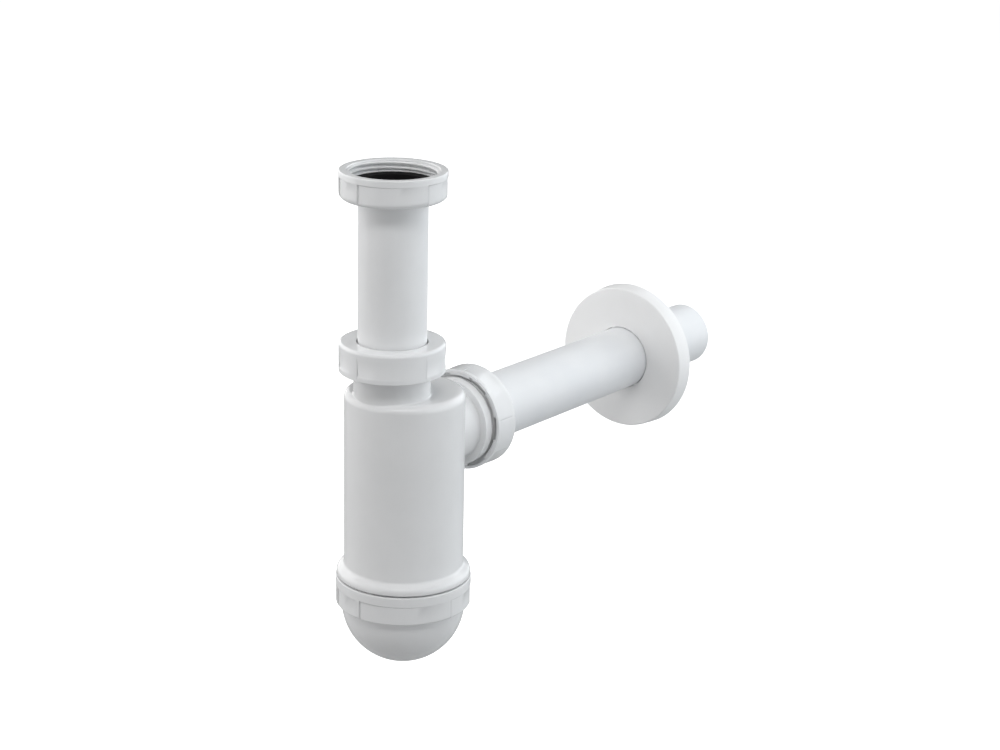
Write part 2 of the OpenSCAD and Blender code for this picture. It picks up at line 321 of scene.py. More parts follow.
# How strongly painted shade darkens the colour along the grip steps of nuts and cup.
STEP_SHADE_AMOUNT = 0.30
RUBBER_PEEL = 0.6
nut_finish = plastic("nut polypropylene", *NUT_TONES, 0.17, step_shade=STEP_SHADE_AMOUNT)
pipe_finish = plastic("pipe polypropylene", *PIPE_TONES, 0.42, streak=OUTWARD)
tube_finish = plastic("tube polypropylene", *NUT_TONES, 0.32)
bottle_finish = plastic("bottle polypropylene", *BODY_TONES, 0.18)
cup_finish = plastic("cup polypropylene", *BODY_TONES, 0.20, step_shade=STEP_SHADE_AMOUNT)
rosette_finish = plastic("rosette polystyrene", *ROSETTE_TONES, 0.32, streak=EVENLY)
ring_finish = plastic("slip ring polyethylene", *RING_TONES, 0.45, streak=EVENLY)
black_finish = plastic("black rubber", *BLACK_TONES, 0.7, peel=RUBBER_PEEL, rubber=True)
seal_finish = plastic("grey seal rubber", *SEAL_TONES, 0.55, peel=RUBBER_PEEL, rubber=True)
print("finishes:", len(bpy.data.materials))


# %% [markdown]
# ## Turned walls
# Most pieces are solids of revolution. Blender's Screw modifier or a bevelled cylinder could make them,
# but neither gives each corner its own rounding. So a closed outline is drawn in radius and height, each
# corner with its rounding, and turned around the axis. The outline is first put the right way round, so
# the faces point outwards without any later correction, inside the bores as well.

# %% Round the corners of an outline
def rounded(corners, closed=True, steps=ROUND_STEPS):
    """Corners are (radius, height, rounding); the result is a list of (radius, height)."""
    points = []
    count = len(corners)
    for i, (r, h, size) in enumerate(corners):
        here = Vector((r, h))
        if size <= 0 or (not closed and i in (0, count - 1)):
            points.append((r, h))
            continue
        before = Vector(corners[i - 1][:2]) - here
        after = Vector(corners[(i + 1) % count][:2]) - here
        half = before.angle(after) / 2
        reach = min(size / math.tan(half), 0.49 * before.length, 0.49 * after.length)
        before.normalize()
        after.normalize()
        centre = here + (before + after).normalized() * (reach / math.cos(half))
        start = here + before * reach - centre
        turn = start.angle_signed(here + after * reach - centre)
        for k in range(steps + 1):
            arm = start.copy()
            arm.rotate(Matrix.Rotation(-turn * k / steps, 2))
            points.append((centre.x + arm.x, centre.y + arm.y))
    return points


# %% Turn an outline around an axis
def mesh_object(name, vertices, faces):
    mesh = bpy.data.meshes.new(name)
    mesh.from_pydata([Vector(v) * MM for v in vertices], [], faces)
    mesh.validate()
    obj = bpy.data.objects.new(name, mesh)
    bpy.context.scene.collection.objects.link(obj)
    return obj


def face_outwards(obj, weld=False):
    """Turns the faces of a closed shell outwards, and gives its open edges and its volume in cm3."""
    shell = bmesh.new()
    shell.from_mesh(obj.data)
    if weld:
        bmesh.ops.remove_doubles(shell, verts=shell.verts, dist=WELD)
    bmesh.ops.recalc_face_normals(shell, faces=shell.faces)
    open_edges = sum(1 for edge in shell.edges if len(edge.link_faces) != 2)
    volume = shell.calc_volume() * 1e6
    shell.to_mesh(obj.data)
    shell.free()
    return open_edges, volume


def even_angles(count):
    return [2 * math.pi * i / count for i in range(count)]


GRIP_APART = math.radians(6)
STEP_EDGES = [math.radians(e) for e in (0.04, 0.4, 0.9, 1.5, 2.2, 3.0)]


def grip_angles(wide):
    """Columns for a gripped nut: close together on both sides of each step, and even between the steps."""
    edges, angles, start = STEP_EDGES, [], GRIP_TURN
    for span in [2 * math.pi / GRIP_PAIRS * share for share in (wide, 1 - wide)] * GRIP_PAIRS:
        inner = span - 2 * edges[-1]
        count = round(inner / GRIP_APART)
        angles += [start + e for e in edges[:-1]]
        angles += [start + edges[-1] + inner * j / count for j in range(count + 1)]
        angles += [start + span - e for e in edges[-2::-1]]
        start += span
    return angles


ON_AXIS = 1e-6


def turned(name, outline, angles=None):
    """Turns a closed outline around the upright axis. A point on the axis becomes one shared point."""
    angles = angles or even_angles(COLUMNS)
    area = sum(a[0] * b[1] - b[0] * a[1] for a, b in zip(outline, outline[1:] + outline[:1]))
    loop = outline if area > 0 else outline[::-1]
    vertices, rings = [], []
    for r, h in loop:
        first = len(vertices)
        if r < ON_AXIS:
            vertices.append((0, 0, h))
            rings.append([first] * len(angles))
        else:
            vertices += [(r * math.cos(a), r * math.sin(a), h) for a in angles]
            rings.append(list(range(first, len(vertices))))
    faces = []
    for low, high in zip(rings, rings[1:] + rings[:1]):
        for j in range(len(angles)):
            k = (j + 1) % len(angles)
            corners = [low[j], low[k], high[k], high[j]]
            face = [c for n, c in enumerate(corners) if c not in corners[:n]]
            if len(face) > 2:
                faces.append(face)
    return mesh_object(name, vertices, faces)


ROW_EVERY = 5


def even_rows(radius, low, high):
    """Rows along a long plain wall, which keep its faces short."""
    count = round((high - low) / ROW_EVERY)
    return [(radius, low + (high - low) * k / count, 0) for k in range(1, count)]


# %% [markdown]
# ## Grip panels, threads and lugs
# Nuts and cup are gripped by flat ratchet panels, screw together by their threads, and the nuts have
# small lugs in their mouths. They could be cut with booleans, which leave ragged faces that don't shade
# well. All of them follow a rule, so Geometry Nodes make them, in three trees.
#
# The first tree takes a plain turned nut and presses the panels in. Wide and narrow panels take turns;
# each starts deep at a step and rises back to the full radius, like the teeth of a ratchet. A fine crease
# runs down every step. The tree also stores a band along the high side of each step, where the finish
# paints shade. The second tree draws a thread as a ridge on a helix, fading out at both ends. The third
# repeats a shape around the axis.

# %% Tree one: press the grip panels
grip_group, tree, size = geometry_tree("press grip panels", {
    "Panel radius": 0.0246, "Depth": 0.0006, "Pairs": GRIP_PAIRS, "Wide share": NUT_WIDE, "Turn": 0.0,
    "From": 0.0, "To": 0.01, "Edge": 0.0003, "Crease": 0.00016, "Crease width": 0.0005,
    "Blur": 0.00012, "Shade width": 0.0010, "Clear": 0.002})
place_now = tree.node("GeometryNodeInputPosition")
x = tree.node("ShaderNodeSeparateXYZ", inputs={0: place_now})
y, z = x.also("Y"), x.also("Z")
radius = x.sum("SQRT", x * x + y * y)
around = ((x.sum("ARCTAN2", y, x) - size["Turn"]) * size["Pairs"] / (2 * math.pi)).fraction()
narrow = x.sum("GREATER_THAN", around, size["Wide share"])
share = size["Wide share"] + narrow * (1 - 2 * size["Wide share"])
rise = (around - narrow * size["Wide share"]) / share
from_step = x.sum("MINIMUM", rise, 1 - rise) * share * radius * (2 * math.pi) / size["Pairs"]
from_edge = (1 - rise) * share * radius * (2 * math.pi) / size["Pairs"]
crease = (1 - from_step.between(0.0, size["Crease width"])) * size["Crease"]
outside = 1 - z.between(size["From"] - size["Edge"], size["From"] + size["Edge"]) * (
    1 - z.between(size["To"] - size["Edge"], size["To"] + size["Edge"]))
limit = size["Panel radius"] - size["Depth"] * (1 - rise) - crease + outside * size["Clear"]
pressed = radius.soft_least(limit, size["Blur"]) / radius
moved = tree.node("ShaderNodeCombineXYZ", inputs={"X": x * pressed, "Y": y * pressed, "Z": z})
shaped = tree.node("GeometryNodeSetPosition", inputs={"Geometry": size["Geometry"], "Position": moved})
# Painted shade: a band at the high side of each step, stored as the crease attribute, which the finish
# darkens.
painted_step_shade = (1 - from_edge.between(0.0, size["Shade width"])) * (1 - outside)
marked = tree.node("GeometryNodeStoreNamedAttribute", {"data_type": "FLOAT", "domain": "POINT"}, {
    "Geometry": shaped, "Name": "crease", "Value": painted_step_shade})
end_tree(tree, marked, size["Finish"])
print(grip_group.name, "nodes", len(grip_group.nodes))

PANEL_EDGE = 0.35
PANEL_OVER = 0.03


def press_grip(obj, finish, radius, low, high, wide=NUT_WIDE, edge=PANEL_EDGE):
    """Presses the panels between two heights. A hair over the radius, so that they run out softly."""
    return run_tree(obj, grip_group, {
        "Panel radius": (radius + PANEL_OVER) * MM, "Depth": GRIP_DEPTH * MM, "Pairs": GRIP_PAIRS,
        "Wide share": wide, "Turn": GRIP_TURN, "From": low * MM, "To": high * MM, "Edge": edge * MM,
        "Finish": finish})


def collar_rows(radius, height, edge=PANEL_EDGE):
    """Rows of points across the edge of a collar, so that the panels can end softly there."""
    return [(radius, height + edge * step / 2, 0) for step in (-2, -1, 0, 1, 2)]


# %% Tree two: wind a thread
THREAD_SECTION = 17
CREST, ROOT = 1.2, -0.2     # the round section is stretched, then cut flat on top and under the wall
thread_group, tree, size = geometry_tree("wind a thread", {
    "Radius": 0.02, "Pitch": 0.0023, "Turns": 3.0, "Steps": 200, "Height": 0.0011, "Width": 0.0013,
    "Start angle": 0.0, "Level": 0.0, "Fade": 0.08})
sheet = tree.node("GeometryNodeMeshGrid", inputs={
    "Size X": 1, "Size Y": 1, "Vertices X": size["Steps"], "Vertices Y": THREAD_SECTION})
place_now = tree.node("GeometryNodeInputPosition")
x = tree.node("ShaderNodeSeparateXYZ", inputs={0: place_now})
run, lap = x + 0.5, (x.also("Y") + 0.5) * (2 * math.pi)
fade = run.between(0.0, size["Fade"]) * (1 - run.between(1 - size["Fade"], 1.0))
ridge = x.sum("MINIMUM", x.sum("MAXIMUM", lap.sin() * CREST, ROOT), 1.0)
angle = size["Start angle"] + run * size["Turns"] * (2 * math.pi)
reach = size["Radius"] + ridge * fade * size["Height"]
level_now = size["Level"] + angle * size["Pitch"] / (2 * math.pi) + lap.cos() * fade * size["Width"] * 0.5
moved = tree.node("ShaderNodeCombineXYZ", inputs={
    "X": reach * angle.cos(), "Y": reach * angle.sin(), "Z": level_now})
shaped = tree.node("GeometryNodeSetPosition", inputs={"Geometry": sheet, "Position": moved})
sealed = tree.node("GeometryNodeMergeByDistance", inputs={"Geometry": shaped, "Distance": WELD})
end_tree(tree, sealed, size["Finish"])
print(thread_group.name, "nodes", len(thread_group.nodes))


# %% Tree three: repeat a shape around the axis
ring_group, tree, size = geometry_tree("repeat around the axis", {"Count": 6, "Turn": 0.0})
spots = tree.node("GeometryNodePoints", inputs={"Count": size["Count"]})
number = tree.node("GeometryNodeInputIndex")
way = number * (2 * math.pi) / size["Count"] + size["Turn"]
turn = tree.node("ShaderNodeCombineXYZ", inputs={"Z": way})
copies = tree.node("GeometryNodeInstanceOnPoints", inputs={
    "Points": spots, "Instance": size["Geometry"], "Rotation": turn})
end_tree(tree, copies, size["Finish"])
print(ring_group.name, "nodes", len(ring_group.nodes))


# %% Thread maker
THREAD_STEPS = 72


def thread(finish, radius, height, width, pitch, low, high, level, fade=0.25):
    """A ridge on a helix between two heights. level is its height at angle 0, up to whole pitches."""
    turns = (high - low) / pitch
    start = (low - level) / pitch * 2 * math.pi
    obj = mesh_object("thread", [(0, 0, 0)], [])
    run_tree(obj, thread_group, {
        "Radius": radius * MM, "Pitch": pitch * MM, "Turns": turns, "Steps": int(THREAD_STEPS * turns) + 1,
        "Height": height * MM, "Width": width * MM, "Start angle": start, "Level": level * MM,
        "Fade": fade / turns, "Finish": finish})
    face_outwards(obj)
    return obj


# %% [markdown]
# ## Finishing a piece
# A finished piece is one mesh in its real place, with smooth shading that stops at its few sharp
# edges. Parenting its parts would do for a picture, but one mesh is easier to move and to export. It
# rides on its imported body, takes the place of the plain solid and gets its finish as its one material.

# %% Join, place a piece and set it on its body
ALONG_OUTLET = Matrix.Translation((0, 0, OUTLET_Z * MM)) @ Matrix.Rotation(math.radians(-90), 4, "X")
ON_BOTTLE = Matrix.Translation((0, BOTTLE_Y * MM, 0))
SHARP = math.radians(38)


def finish_piece(name, parts, finish, body, node, placed=Matrix.Identity(4)):
    joined = bmesh.new()
    for part in parts:
        joined.from_mesh(part.data)
        bpy.data.objects.remove(part)
    bmesh.ops.transform(joined, matrix=placed, verts=joined.verts)
    mesh = bpy.data.meshes.new(name)
    joined.to_mesh(mesh)
    joined.free()
    mesh.materials.clear()
    mesh.materials.append(finish)
    mesh.polygons.foreach_set("material_index", [0] * len(mesh.polygons))
    mesh.shade_smooth()
    mesh.set_sharp_from_angle(angle=SHARP)
    piece = bpy.data.objects.new(name, mesh)
    bpy.context.scene.collection.objects.link(piece)
    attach(piece, body)
    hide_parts(node)
    print(name, "faces", len(mesh.polygons), "on", body)


# %% [markdown]
# ## The union nut
# It holds the tube to the basin's waste. From above its thread shows as rings around the black washer,
# so the thread is a real ridge and not a bump in the finish. The nut is turned first and its panels are
# pressed in afterwards: the closed end is well rounded, and they stop at a plain collar under the rim.

# %% Union nut
UNION_COLLAR = 2.9
UNION_ROUND = 5.2
UNION_HOLE_R = PIPE_R + 0.4
WASHER_ROOM_R = SEAL_R + 0.9
rim, base = union_high.z, union_low.z + 0.8
shelf = union_low.z + 3.7
nut = turned("union", rounded([
    (UNION_HOLE_R, base, 0.3), (NUT_R, base, UNION_ROUND), (NUT_R, base + UNION_ROUND + 1, 0),
    *collar_rows(NUT_R, rim - UNION_COLLAR),
    (NUT_R, rim, 0.5), (NUT_BORE_R + 0.4, rim, 0.2), (NUT_BORE_R, rim - 0.5, 0.15),
    (NUT_BORE_R, 0.3, 0.2), (WASHER_ROOM_R, 0, 0.1), (WASHER_ROOM_R, shelf, 0.3), (UNION_HOLE_R, shelf, 0.3)],
    steps=9), grip_angles(NUT_WIDE))
press_grip(nut, nut_finish, NUT_R, base - 1, rim - UNION_COLLAR)
ridge_in = thread(nut_finish, NUT_BORE_R, -1.2, 1.25, NUT_PITCH, 0.9, rim - 0.55, 0.6, fade=0.12)
finish_piece("union_nut_moulding", [nut, ridge_in], nut_finish, "union", "inlet_union_nut")

# %% [markdown]
# ## Washer and inlet tube
# The black washer lies on the tube's flange, and its inner edge is a little rounded from the mould.
# The tube is a plain extrusion with its flange formed on, and its lower end is trimmed square. Both are
# turned, so that wall, bore and edges are one closed skin.

# %% Washer and tube
washer = turned("washer", rounded([
    (BORE_R, washer_low.z, 0.3), (SEAL_R, washer_low.z, 0.4), (SEAL_R, washer_high.z, 0.5),
    (BORE_R, washer_high.z, 0.5)]))
finish_piece("inlet_washer_ring", [washer], black_finish, "inlet", "inlet_washer")
flange_under = tube_high.z - 2.0
tube = turned("tube", rounded([
    (BORE_R, tube_low.z, 0.3), (PIPE_R, tube_low.z, 0.6), *even_rows(PIPE_R, tube_low.z, flange_under),
    (PIPE_R, flange_under, 0.05), (SEAL_R, flange_under, 0.4), (SEAL_R, tube_high.z, 0.3),
    (BORE_R, tube_high.z, 0.4)]))
finish_piece("inlet_tube_wall", [tube], tube_finish, "inlet", "inlet_tube")

# %% [markdown]
# ## Compression nuts, slip rings and cone seals
# The neck and the outlet are closed by the same set: a rubber cone on the pipe, a hard ring that lets
# the nut turn freely, and the nut. Modelling each piece where it sits would mean doing it all twice. So
# one function makes each piece along its own axis, and a loop places the sets. Six low lugs stand in the
# nut's mouth and break up the dark gap that shows behind the outlet nut.

# %% The three pieces of a compression joint, open end at height 0
COMPRESSION_COLLAR = 1.7
COMPRESSION_ROUND = 3.3
COMPRESSION_EDGE = 1.3
NUT_END = 3
MOUTH_DEEP = 1.5
LUGS, LUG_CUTS = 6, 6
nut_height = neck_nut_high.z - neck_nut_low.z
mouth_in_nut = bottle_high.z - neck_nut_low.z


def mouth_lugs():
    """Six low lugs in the nut's mouth, each half as long as its share of the circle."""
    inner, outer, low, top = NUT_BORE_R + 0.9, NUT_BORE_R + 2.35, 0.3, MOUTH_DEEP + 0.1
    section = rounded([
        (inner, low, 0.25), (outer, low, 0.05), (outer, top, 0.05), (inner, top, 0.25)], steps=3)
    cuts = [math.pi / LUGS * (k / LUG_CUTS - 0.5) for k in range(LUG_CUTS + 1)]
    size = len(section)
    points = [(r * math.cos(a), r * math.sin(a), h) for a in cuts for r, h in section]
    faces = [list(range(size))[::-1], list(range(len(points) - size, len(points)))]
    for here in range(0, LUG_CUTS * size, size):
        there = here + size
        faces += [(here + i, here + (i + 1) % size, there + (i + 1) % size, there + i) for i in range(size)]
    lug = mesh_object("lug", points, faces)
    face_outwards(lug)
    return run_tree(lug, ring_group, {"Count": LUGS, "Turn": math.pi / LUGS, "Finish": nut_finish})


def compression_nut():
    panels_end, inside = nut_height - COMPRESSION_ROUND - 0.2, nut_height - NUT_END
    blank = turned("nut", rounded([
        (NUT_HOLE_R, nut_height, 0.5), (NUT_HOLE_R, inside, 0.2), (NUT_BORE_R, inside, 0.4),
        (NUT_BORE_R, MOUTH_DEEP + 0.8, 0.2), (NUT_BORE_R + 2.1, MOUTH_DEEP, 0.3), (NUT_BORE_R + 2.3, 0, 0.25),
        (NUT_R, 0, 0.35), *collar_rows(NUT_R, COMPRESSION_COLLAR, COMPRESSION_EDGE),
        *collar_rows(NUT_R, panels_end, 0.25), (NUT_R, nut_height, COMPRESSION_ROUND)],
        steps=9), grip_angles(NUT_WIDE))
    press_grip(blank, nut_finish, NUT_R, COMPRESSION_COLLAR, panels_end, edge=COMPRESSION_EDGE)
    ridge = thread(nut_finish, NUT_BORE_R, -1.15, 1.15, NUT_PITCH, MOUTH_DEEP + 1, mouth_in_nut + 0.4,
                   NUT_PITCH / 2)
    return [blank, ridge, mouth_lugs()]


def slip_ring(thickness):
    return [turned("ring", rounded([
        (SOCKET_R, 0, 0.15), (SEAL_R, 0, 0.3), (SEAL_R, thickness, 0.3), (SOCKET_R, thickness, 0.15)]))]


def cone_seal(length, head):
    hole, tip, root = PIPE_R + 0.05, PIPE_R + 0.67, PIPE_R + 1.9
    return [turned("seal", rounded([
        (hole, -length, 0.2), (tip, -length, 0.3), (root, 0, 0.1),
        (SEAL_R, 0, 0.35), (SEAL_R, head, 0.35), (hole, head, 0.3)]))]


# %% Place the sets on the neck and on the outlet
def up_to(height):
    return Matrix.Translation((0, 0, height * MM))


SEAL_HEAD = 2.3
ring_t = neck_ring_high.z - neck_ring_low.z
cone_length = neck_seal_high.z - neck_seal_low.z - SEAL_HEAD
for name, body, low, ring_low, seal_top, turn in (
        ("neck", "neck_", neck_nut_low.z, neck_ring_low.z, neck_seal_high.z, Matrix.Identity(4)),
        ("outlet", "outlet_", outlet_nut_low.y, outlet_ring_low.y, outlet_seal_high.y, ALONG_OUTLET)):
    finish_piece(name + "_nut_moulding", compression_nut(), nut_finish, body + "screw", name + "_nut",
                 turn @ up_to(low))
    finish_piece(name + "_slip_washer", slip_ring(ring_t), ring_finish, body + "ring", name + "_slip_ring",
                 turn @ up_to(ring_low))
    finish_piece(name + "_cone_washer", cone_seal(cone_length, SEAL_HEAD), seal_finish, body + "grip",
                 name + "_cone_seal", turn @ up_to(seal_top - SEAL_HEAD))

# %% [markdown]
# ## The bottle
# The bottle is one hollow moulding: an upright wall, a neck that stands off centre on its shoulder and
# a branch on its side. Joining tubes with a boolean leaves hard edges, and a moulded joint has none.
# So its rings are laid one by one: each ring of the neck and of the branch meets the wall through a fillet
# that is worked out for its own direction, and the net stays closed from the outside to the inside.

# %% Rings that join into one net
class Net:
    def __init__(self):
        self.points, self.faces = [], []

    def ring(self, points):
        first = len(self.points)
        self.points += points
        return list(range(first, first + len(points)))

    def bridge(self, a, b):
        for i in range(len(a)):
            j = (i + 1) % len(a)
            self.faces.append((a[i], a[j], b[j], b[i]))

    def chain(self, rings):
        for a, b in zip(rings, rings[1:]):
            self.bridge(a, b)


FILLET_STEPS = 7
FILLET_TRIES = 30
NEAR = 0.01


def fillet(surface, wall_r, size):
    """Points (radius, height) from a tube of radius wall_r onto surface(radius), through a rounding.

    The rounding touches the surface where the slope there says so, which is found by trying again."""
    centre_r, contact = wall_r + size, wall_r + size
    for _ in range(FILLET_TRIES):
        slope = (surface(contact + NEAR) - surface(contact - NEAR)) / (2 * NEAR)
        contact = 0.5 * contact + 0.5 * (centre_r + size * slope / math.hypot(1, slope))
    lean = math.hypot(1, slope)
    centre_h = surface(contact) + size / lean
    last = math.atan2(-1 / lean, slope / lean)
    first = -math.pi
    return [(centre_r + size * math.cos(a), centre_h + size * math.sin(a))
            for a in (first + (last - first) * k / FILLET_STEPS for k in range(FILLET_STEPS + 1))]


# %% Heights and columns of the bottle
neck_mouth = bottle_high.z
shoulder = neck_mouth - 19.2
thread_low = shoulder + 12.2
wall_top = shoulder - SHOULDER_ROUND
roof = shoulder - 2.5
flange_low = cup_high.z + 0.8
foot_low = bottle_low.z
mouth_y = bottle_high.y
branch_end = mouth_y - 12.8
STOP_R, STOP_LONG = 21.45, 4.7
SEAT_WIDE, SEAT_TIP, SEAT_DEEP = PIPE_R + 2.0, PIPE_R + 0.75, 6.5
COLUMN_COUNT = 96
columns = even_angles(COLUMN_COUNT)
WINDOW = 15
WINDOW_ROWS, ROW_STEP = 16, 2.9
window_rows = [wall_top - 1.0 - ROW_STEP * k for k in range(WINDOW_ROWS)]
print("shoulder", round(shoulder, 2), "window from", *(round(window_rows[k], 1) for k in (0, -1)))


def on_wall(radius, angle, height):
    """A point of the bottle's round wall. Angle 0 looks along the outlet."""
    return (radius * math.sin(angle), BOTTLE_Y + radius * math.cos(angle), height)


# %% The wall with its window for the branch
def window_loop():
    """(column, row) steps around the window's edge, once round."""
    last = len(window_rows) - 1
    loop = [(c, 0) for c in range(-WINDOW, WINDOW)]
    loop += [(WINDOW, r) for r in range(last)]
    loop += [(c, last) for c in range(WINDOW, -WINDOW, -1)]
    return loop + [(-WINDOW, r) for r in range(last, 0, -1)]


def walled(net, radius, top_ring, foot_ring):
    """Lays the upright wall between two rings, leaves the window open and gives its edge."""
    rows = [net.ring([on_wall(radius, a, z) for a in columns]) for z in window_rows]
    rows = [top_ring, *rows, foot_ring]
    half = COLUMN_COUNT // 2
    for k, (upper, lower) in enumerate(zip(rows, rows[1:])):
        for i in range(COLUMN_COUNT):
            j = (i + 1) % COLUMN_COUNT
            centred = (i + half) % COLUMN_COUNT - half
            if 1 <= k < WINDOW_ROWS and -WINDOW <= centred < WINDOW:
                continue
            net.faces.append((upper[i], lower[i], lower[j], upper[j]))
    return [rows[r + 1][c % COLUMN_COUNT] for c, r in window_loop()]


def branch_directions(radius):
    """The direction, seen along the outlet, of each point of the window's edge."""
    step = columns[1]
    return [math.atan2(window_rows[r] - OUTLET_Z, radius * step * c) for c, r in window_loop()]


# %% Lay the outside of the bottle
net = Net()
BRANCH_FILLET = 1.6
NECK_FILLET = 1.0
wall_points = [on_wall(BODY_R, a, wall_top) for a in columns]
neck_ways = [math.atan2(p[1], p[0]) for p in wall_points]


def shoulder_height(x, y):
    beyond = math.hypot(x, y - BOTTLE_Y) - (BODY_R - SHOULDER_ROUND)
    beyond = min(max(beyond, 0.0), SHOULDER_ROUND * 0.9999)
    return shoulder - SHOULDER_ROUND + math.sqrt(SHOULDER_ROUND ** 2 - beyond ** 2)


LINE_POINTS, FINE_STEPS = 18, 240


def shoulder_line(way, edge):
    """From the neck's fillet out to the wall, in even steps along the surface."""
    c, s = math.cos(way), math.sin(way)
    start = fillet(lambda r: shoulder_height(r * c, r * s), NECK_R, NECK_FILLET)
    first, reach = start[-1][0], math.hypot(edge[0], edge[1])
    share = [math.sin(math.pi / 2 * k / FINE_STEPS) for k in range(FINE_STEPS + 1)]
    fine = [(r, shoulder_height(r * c, r * s)) for r in (first + (reach - first) * t for t in share)]
    fine[-1] = (reach, wall_top)
    length = np.concatenate([[0], np.cumsum([math.dist(a, b) for a, b in zip(fine, fine[1:])])])
    marks = np.linspace(0, length[-1], LINE_POINTS)
    radii = np.interp(marks, length, [p[0] for p in fine])
    heights = np.interp(marks, length, [p[1] for p in fine])
    return start + list(zip(radii, heights))[1:]


lines = [shoulder_line(w, p) for w, p in zip(neck_ways, wall_points)]
shoulder_rings = [net.ring([(line[k][0] * math.cos(w), line[k][0] * math.sin(w), line[k][1])
                            for line, w in zip(lines, neck_ways)]) for k in range(len(lines[0]))]

# %% The neck, from its mouth down to the fillet, and the mouth's seat for the cone
def ways_ring(r, h):
    return net.ring([(r * math.cos(w), r * math.sin(w), h) for w in neck_ways])


seat_end = neck_mouth - SEAT_DEEP
neck_outer = rounded([
    (SEAT_WIDE, neck_mouth, 0), (CORE_R, neck_mouth, 0.3), (CORE_R, thread_low, 0.3),
    (NECK_R, thread_low - 1.2, 0.4), (NECK_R, shoulder + 4, 0)], closed=False)
neck_inner = rounded([(SEAT_TIP, seat_end, 0.1), (SOCKET_R, seat_end, 0.1), (SOCKET_R, roof, 0.4)],
                     closed=False)
mouth_rings = [ways_ring(r, h) for r, h in neck_outer]
net.chain(mouth_rings + shoulder_rings)
print("neck rings", len(mouth_rings), "shoulder rings", len(shoulder_rings))

# %% The outer wall, the foot flange and the foot
# The wall swells into the flange along one smooth curve between four points.
FLANGE_STEPS = 14
BEND = [(BODY_R, 6.0), (BODY_R, 3.6), (FLANGE_R, 4.4), (FLANGE_R, 1.0)]


def along_bend(t):
    weights = ((1 - t) ** 3, 3 * t * (1 - t) ** 2, 3 * t ** 2 * (1 - t), t ** 3)
    return tuple(sum((Vector((r, flange_low + h)) * w for (r, h), w in zip(BEND, weights)), Vector((0, 0))))


foot_outline = [along_bend(k / FLANGE_STEPS) for k in range(FLANGE_STEPS + 1)] + rounded([
    (FLANGE_R, flange_low + 1.0, 0), (FLANGE_R, flange_low, 0.4), (BODY_R + 0.1, flange_low, 0.3),
    (BODY_R + 0.1, foot_low, 0.6), (BODY_BORE_R, foot_low, 0.3), (BODY_BORE_R, foot_low + 5, 0)],
    closed=False)[1:]
foot_rings = [net.ring([on_wall(r, a, h) for a in columns]) for r, h in foot_outline]
edge = walled(net, BODY_R, shoulder_rings[-1], foot_rings[0])
net.chain(foot_rings)

# %% The chamber inside, up to its roof and the neck's bore
chamber_top = net.ring([on_wall(BODY_BORE_R, a, roof) for a in columns])
inner_edge = walled(net, BODY_BORE_R, chamber_top, foot_rings[-1])
net.chain([mouth_rings[0]] + [ways_ring(r, h) for r, h in neck_inner] + [chamber_top])

# %% The branch: fillet, plain tube, stop collar, thread core, and back through the bore
ways_out = branch_directions(BODY_R)


def branch_ring(points):
    return net.ring([(r * math.cos(w), y, OUTLET_Z + r * math.sin(w)) for (r, y), w in zip(points, ways_out)])


def same_ring(r, y):
    return branch_ring([(r, y)] * len(ways_out))


def saddle(radius, way):
    return lambda r: BOTTLE_Y + math.sqrt(max(radius ** 2 - (r * math.cos(way)) ** 2, 1e-6))


fillets = [fillet(saddle(BODY_R, w), NECK_R, BRANCH_FILLET) for w in ways_out]
fillet_rings = [branch_ring([f[k] for f in fillets]) for k in range(len(fillets[0]))]
SPREAD = 6


def spread_rings(radius, start_ring, edge_ring):
    """Rings on the round wall from the fillet's edge out to the window's edge."""
    rings = [start_ring]
    starts = [net.points[i] for i in start_ring]
    ends = [net.points[i] for i in edge_ring]
    for k in range(1, SPREAD):
        t = k / SPREAD
        ring = []
        for a, b in zip(starts, ends):
            angle_a, angle_b = math.asin(a[0] / radius), math.atan2(b[0], b[1] - BOTTLE_Y)
            ring.append(on_wall(radius, angle_a + (angle_b - angle_a) * t, a[2] + (b[2] - a[2]) * t))
        rings.append(net.ring(ring))
    return rings + [edge_ring]


stop_end, seat_inner_y, wall_y = branch_end + STOP_LONG, mouth_y - SEAT_DEEP, BOTTLE_Y + BODY_R
branch_outline = rounded([
    (NECK_R, branch_end - 0.8, 0), (NECK_R, branch_end, 0.35), (STOP_R, branch_end, 0.4),
    (STOP_R, stop_end, 0.4), (CORE_R, stop_end, 0.3), (CORE_R, mouth_y, 0.3),
    (SEAT_WIDE, mouth_y, 0.1), (SEAT_TIP, seat_inner_y, 0.1), (SOCKET_R, seat_inner_y, 0.1),
    (SOCKET_R, wall_y, 0.1), (BORE_R, wall_y, 0.3), (BORE_R, wall_y - 1, 0)], closed=False)
branch_rings = [same_ring(r, y) for r, y in branch_outline]
bore_edge = branch_ring([(BORE_R, saddle(BODY_BORE_R, w)(BORE_R)) for w in ways_out])
wall_rings = spread_rings(BODY_R, fillet_rings[-1], edge)[::-1]
net.chain(wall_rings + fillet_rings[-2::-1] + branch_rings + [bore_edge])
net.chain(spread_rings(BODY_BORE_R, bore_edge, inner_edge))
print("branch rings", len(branch_rings), "points in the net", len(net.points))

